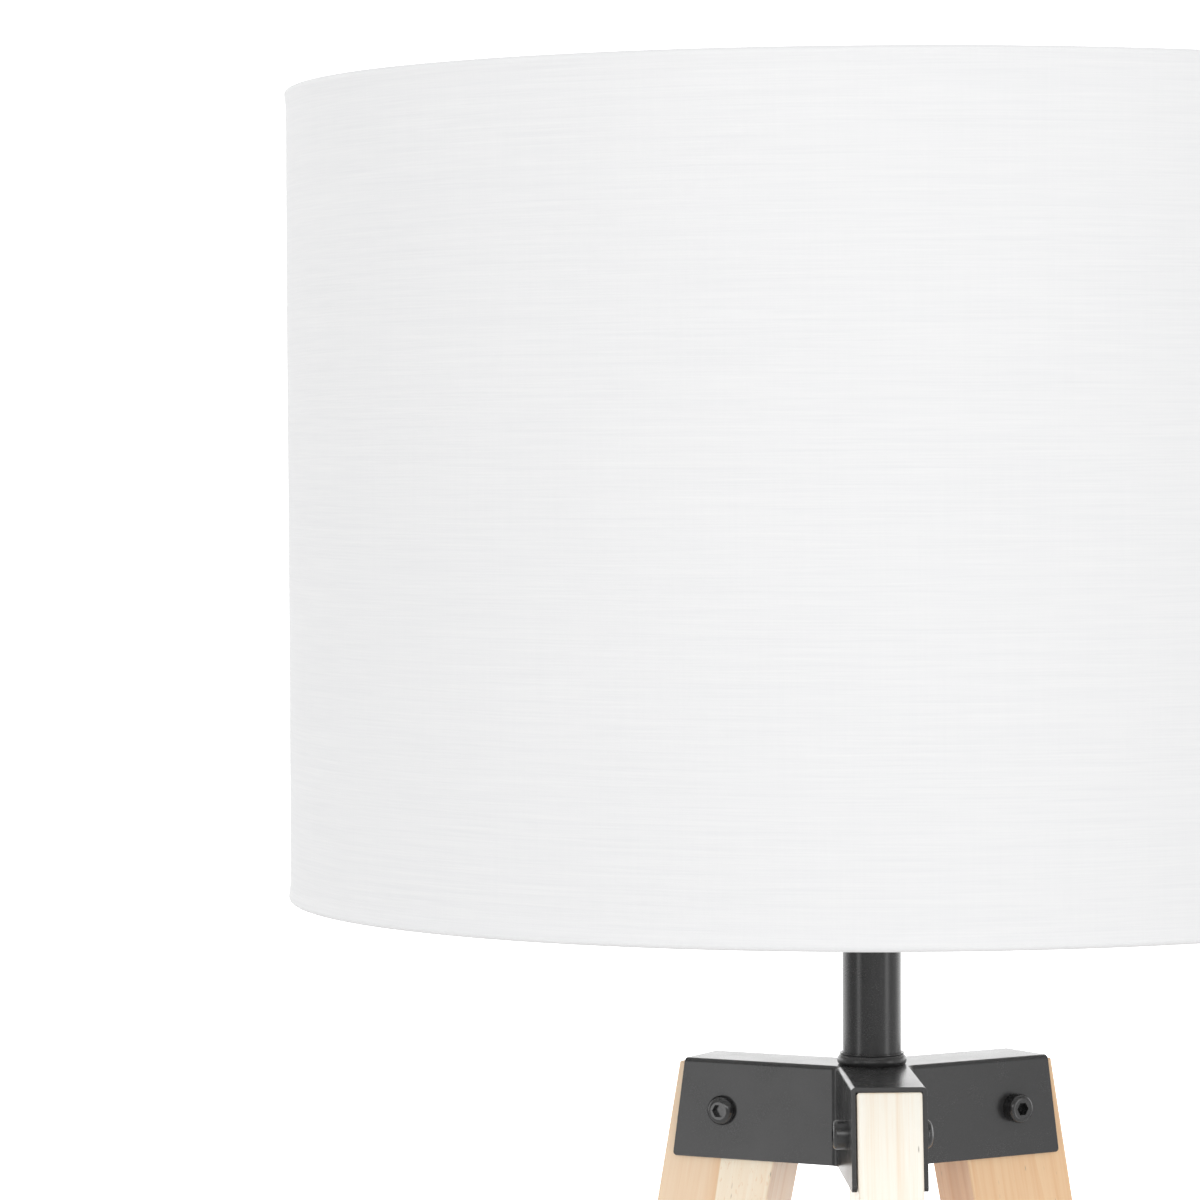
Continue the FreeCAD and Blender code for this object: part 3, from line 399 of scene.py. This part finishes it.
# Each leg's colours for its outward face, its sides, its laminated strip and its inward faces; the inward
# colour is partly the wood's tone and partly painted shade.
CREAM = (0.96, 0.93, 0.84)
TAN = (0.88, 0.67, 0.45)
WOODS = {
    "front": dict(seed=1.0, face=CREAM, side=(0.93, 0.85, 0.72), strip=(0.93, 0.86, 0.74), inner_tone_and_shade=TAN,
                  strip_edge=0.004, strip_slope=0.0, pith=(0.09, 0.004, 0.0), rings=0.3, speckle=0.3),
    "left": dict(seed=4.0, face=TAN, side=(0.87, 0.67, 0.47), strip=(0.95, 0.84, 0.67),
                 inner_tone_and_shade=(0.92, 0.78, 0.65), strip_edge=-0.0016, strip_slope=0.03, pith=(0.05, 0.09, 0.02),
                 rings=0.14, speckle=0.5),
    "right": dict(seed=8.0, face=TAN, side=(0.87, 0.61, 0.37), strip=(0.84, 0.6, 0.37),
                  inner_tone_and_shade=(0.88, 0.61, 0.425), strip_edge=-0.06, strip_slope=0.0, pith=(0.003, 0.026, 0.03),
                  rings=0.3, speckle=0.0),
}


def dress_legs():
    for arm, wood in WOODS.items():
        give(pine(f"pine_{arm}", leg_directions(arm), **wood), f"leg_{arm}")


# ------------------------------------------------------------------ painted pieces
BROKEN_EDGE = 0.00035           # the paint's radius along a cut edge
SAME_POINT = 0.000002
FLAT = math.radians(1)
SHARP = math.radians(35)


def break_edges(name, body, radius, material):
    """A CAD node again, with its sharp edges broken, because paint rounds them."""
    mesh = NODES[name].data.copy()
    shape = bmesh.new()
    shape.from_mesh(mesh)
    bmesh.ops.remove_doubles(shape, verts=shape.verts, dist=SAME_POINT)
    bmesh.ops.dissolve_limit(shape, angle_limit=FLAT, verts=shape.verts, edges=shape.edges)
    sharp = [edge for edge in shape.edges
             if len(edge.link_faces) == 2 and edge.calc_face_angle() > SHARP]
    bmesh.ops.bevel(shape, geom=sharp, offset=radius, offset_type="OFFSET", segments=2, profile=0.5,
                    affect="EDGES", clamp_overlap=True)
    shape.to_mesh(mesh)
    shape.free()
    if "custom_normal" in mesh.attributes:
        mesh.attributes.remove(mesh.attributes["custom_normal"])
    mesh.materials.clear()
    mesh.materials.append(material)
    for polygon in mesh.polygons:
        polygon.use_smooth = True
        polygon.material_index = 0
    piece = bpy.data.objects.new(f"{name}_painted", mesh)
    bpy.context.scene.collection.objects.link(piece)
    weighted = piece.modifiers.new("weighted", "WEIGHTED_NORMAL")
    weighted.keep_sharp = False
    weighted.weight = 100
    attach(piece, body)
    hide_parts(name)


# ------------------------------------------------------------------ shade
CLOTH = 0.0007                  # cloth's thickness
RIM_FLARE = 0.0009              # how far the rolled edges stand out from the wall
FLARE_DEPTH = 0.005
WALL_SWAY = 0.0003
HEM = 0.009                     # depth of the turned-in hem
HEM_START = 0.002               # from the shade's edge to where the hem lies flat
HEM_SHARES = (0.2, 0.4, 0.6, 0.8, 1.0)
SEAM_WIDTH = 0.012              # the lapped seam, its rise and how it starts and runs out
SEAM_RISE = 0.00045
SEAM_STEP = 0.0008
SEAM_RUN_OUT = 0.004
AROUND = 720                    # steps round the drum
SEAM_BEARING = math.radians(75)


def shade_profile():
    """The cloth's middle line in section, from the bottom hem over the wall to the top hem."""
    wall = SHADE_RADIUS - CLOTH / 2
    fold = WIRE / 2 + CLOTH / 2 + 0.0002
    points = []
    for edge, inwards in ((SHADE_LOW.z, 1), (SHADE_HIGH.z, -1)):
        centre_r = WIRE_RADIUS
        centre_z = edge + inwards * (CLOTH / 2 + fold)
        turn = []
        steps = 16
        for i in range(steps + 1):
            angle = math.pi * i / steps
            radius = centre_r + (wall - centre_r if math.cos(angle) > 0 else fold) * math.cos(angle)
            turn.append((radius, centre_z - inwards * fold * math.sin(angle)))
        hem = [(centre_r - fold, edge + inwards * (HEM * share + HEM_START)) for share in HEM_SHARES]
        turn = turn + hem
        points.append(turn)
    bottom, top = points
    bottom.reverse()
    count = 150
    rise = [bottom[-1][1] + (top[0][1] - bottom[-1][1]) * i / count for i in range(1, count)]
    return bottom + [(wall, z) for z in rise] + top


def make_shade_cloth():
    """The cloth drum: one sheet with rolled rims, turned-in hems and a lapped seam at the back."""
    line = shade_profile()
    lengths = [0.0]
    for a, b in zip(line, line[1:]):
        lengths.append(lengths[-1] + math.hypot(b[0] - a[0], b[1] - a[1]))
    sides = []
    for i, (r, z) in enumerate(line):
        before, after = line[max(i - 1, 0)], line[min(i + 1, len(line) - 1)]
        along = Vector((after[0] - before[0], after[1] - before[1])).normalized()
        sides.append((along.y, -along.x))
    loop = [(i, 0.5) for i in range(len(line))] + [(i, -0.5) for i in reversed(range(len(line)))]
    mesh = bpy.data.meshes.new("shade_cloth")
    verts = []
    for step in range(AROUND):
        angle = 2 * math.pi * step / AROUND
        facing = Vector((math.cos(angle), math.sin(angle), 0))
        lap = (angle - SEAM_BEARING) * SHADE_RADIUS
        seam = SEAM_RISE * (max(0.0, min(1.0, (lap + SEAM_WIDTH) / SEAM_STEP)) if lap < 0
                            else max(0.0, 1 - lap / SEAM_RUN_OUT))
        for i, side in loop:
            r, z = line[i]
            near_edge = min(z - SHADE_LOW.z, SHADE_HIGH.z - z)
            flare = RIM_FLARE * math.exp(-(near_edge / FLARE_DEPTH) ** 2) if r > WIRE_RADIUS else 0.0
            sway = WALL_SWAY * noise.noise(Vector((4 * math.cos(angle), 4 * math.sin(angle), 6 * z)))
            radius = r + sides[i][0] * CLOTH * side + flare + sway + seam * (1 if r > WIRE_RADIUS else -0.5)
            height = z + sides[i][1] * CLOTH * side
            verts.append((AXIS.x + facing.x * radius, AXIS.y + facing.y * radius, height))
    ring = len(loop)
    faces = []
    for step in range(AROUND):
        base, following = step * ring, ((step + 1) % AROUND) * ring
        for k in range(ring):
            k2 = (k + 1) % ring
            faces.append((base + k, following + k, following + k2, base + k2))
    mesh.from_pydata(verts, [], faces)
    layer = mesh.uv_layers.new(name="cloth")
    for polygon in mesh.polygons:
        step, k = divmod(polygon.index, ring)
        k2 = (k + 1) % ring
        corners = ((step, k), (step + 1, k), (step + 1, k2), (step, k2))
        for loop_index, (a, b) in zip(polygon.loop_indices, corners):
            layer.data[loop_index].uv = (2 * math.pi * a / AROUND * SHADE_RADIUS, lengths[loop[b][0]])
        polygon.use_smooth = True
    cloth = bpy.data.objects.new("shade_cloth", mesh)
    bpy.context.scene.collection.objects.link(cloth)
    mesh.materials.append(shade_cloth("cloth_white"))
    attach(cloth, "shade")
    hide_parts("shade_fabric")
    return cloth


# ------------------------------------------------------------------ stage
FRONT_LIGHT = 0.8               # brightness of the surroundings in front of the lamp
BACK_LIGHT = 2.1                # and low down behind it
TOP_LIGHT = 0.85
LEFT_SHARE = 0.38               # how bright the front is on the left, against the right


def make_surroundings():
    """White studio surroundings, brightest low down behind the lamp."""
    world = bpy.data.worlds.new("studio")
    world.use_nodes = True
    tree = world.node_tree
    sky = tree.nodes["Background"]
    direction = tree.nodes.new("ShaderNodeTexCoord").outputs["Generated"]
    parts = tree.nodes.new("ShaderNodeSeparateXYZ")
    tree.links.new(direction, parts.inputs[0])

    def ramp(value, low, high, to_low, to_high):
        node = tree.nodes.new("ShaderNodeMapRange")
        node.interpolation_type = "SMOOTHSTEP"
        tree.links.new(value, node.inputs[0])
        for socket, number in zip(node.inputs[1:], (low, high, to_low, to_high)):
            socket.default_value = number
        return node.outputs["Result"]

    def joined(operation, first, second):
        node = tree.nodes.new("ShaderNodeMath")
        node.operation = operation
        for socket, value in zip(node.inputs, (first, second)):
            if isinstance(value, float):
                socket.default_value = value
            else:
                tree.links.new(value, socket)
        return node.outputs[0]

    behind = ramp(parts.outputs["Y"], 0.0, 0.75, 0.0, 1.0)
    level = ramp(parts.outputs["Z"], 0.25, 0.55, 0.0, 1.0)
    front = ramp(parts.outputs["X"], -1.0, 0.2, LEFT_SHARE * FRONT_LIGHT, FRONT_LIGHT)
    low = joined("ADD", joined("MULTIPLY", behind, BACK_LIGHT),
                 joined("MULTIPLY", joined("SUBTRACT", 1.0, behind), front))
    high = joined("MULTIPLY", level, TOP_LIGHT)
    rest = joined("MULTIPLY", joined("SUBTRACT", 1.0, level), low)
    tree.links.new(joined("ADD", high, rest), sky.inputs["Strength"])
    sky.inputs["Color"].default_value = (1.0, 1.0, 1.0, 1.0)
    bpy.context.scene.world = world
    bpy.context.scene.view_settings.view_transform = "Standard"


def make_floor():
    """A plain round pale floor."""
    mesh = bpy.data.meshes.new("floor")
    shape = bmesh.new()
    bmesh.ops.create_circle(shape, cap_ends=True, radius=6.0, segments=96)
    shape.to_mesh(mesh)
    shape.free()
    floor = bpy.data.objects.new("floor", mesh)
    bpy.context.scene.collection.objects.link(floor)
    s = Shader("floor_pale", (0.8, 0.8, 0.8), 0.7)
    cloud = s.noise(s.place(), 3.0, 4.0, 0.6)
    s.set("Base Color", s.mix(s.fit(cloud, 0.3, 0.7), (0.79, 0.79, 0.79), (0.82, 0.82, 0.82)))
    mesh.materials.append(s.material)


# name: bearing from the lamp in degrees, distance, height, width, tall, watts
SOFT_BOXES = {
    "box_left": (-147.0, 2.6, 1.0, 0.5, 1.6, 6.1),
    "box_right": (-33.0, 2.6, 1.0, 0.6, 1.6, 6.6),
    "box_over": (-105.0, 2.4, 2.1, 2.0, 1.2, 20.0),
}


LIGHT_AIM = 1.33                # the boxes point at the middle of the shade


def make_soft_boxes():
    """Tall soft boxes at the front left and right, and a large one high up in front."""
    for name, (bearing, distance, height, width, tall, watts) in SOFT_BOXES.items():
        data = bpy.data.lights.new(name, "AREA")
        data.shape = "RECTANGLE"
        data.size = width
        data.size_y = tall
        data.energy = watts
        box = bpy.data.objects.new(name, data)
        bpy.context.scene.collection.objects.link(box)
        angle = math.radians(bearing)
        box.location = (distance * math.cos(angle), AXIS.y + distance * math.sin(angle), height)
        aim = Vector((AXIS.x, AXIS.y, min(height, LIGHT_AIM))) - box.location
        box.rotation_euler = aim.to_track_quat("-Z", "Y").to_euler()
        box.visible_camera = False


# ------------------------------------------------------------------ putting it together
def dress_metal():
    coat = painted_steel("coat_dark", (0.031, 0.031, 0.0315), 1.0)
    give(coat, "bracket", "stem_tube", "stem_collar")
    break_edges("bracket", "stand", BROKEN_EDGE, coat)
    give(painted_steel("coat_bolts", (0.02, 0.02, 0.0205), 3.0, 0.18, 1.6), "leg_bolts", "sleeve_nuts")
    give(painted_steel("coat_white", (0.82, 0.82, 0.81), 5.0), "shade_top_ring", "shade_bottom_ring",
         "shade_fitter_ring", "shade_spokes")
    give(bare_metal("zinc", (0.62, 0.63, 0.64), 0.33, 1.0, (1, 1, 6)),
         "stem_cap", "threaded_rod", "rod_washer", "rod_nut", "lock_washer", "bulb_tip")
    give(bare_metal("nickel", (0.72, 0.7, 0.66), 0.24, 2.0, (1, 1, 8)), "bulb_cap")
    give(bare_metal("brass", (0.76, 0.58, 0.28), 0.3, 3.0), "terminal_screws", "screw_shell",
         "centre_contact", "side_contact")
    give(moulded_plastic("plastic_black", (0.022, 0.022, 0.023), 0.42, 1.0), "cord_gland",
         "lampholder_base", "lampholder_shell", "shade_lock_ring", "bulb_insulator")
    give(moulded_plastic("plastic_white", (0.84, 0.84, 0.82), 0.3, 2.0), "bulb_housing")
    give(moulded_plastic("plastic_glide", (0.05, 0.045, 0.04), 0.5, 3.0),
         "glide_front", "glide_left", "glide_right")
    give(fired_ceramic("ceramic", (0.82, 0.8, 0.74)), "lampholder_insert")
    give(opal("opal"), "bulb_dome")
    give(liner_sheet("liner"), "shade_liner")


dress_metal()
dress_legs()
make_shade_cloth()
make_surroundings()
make_floor()
make_soft_boxes()
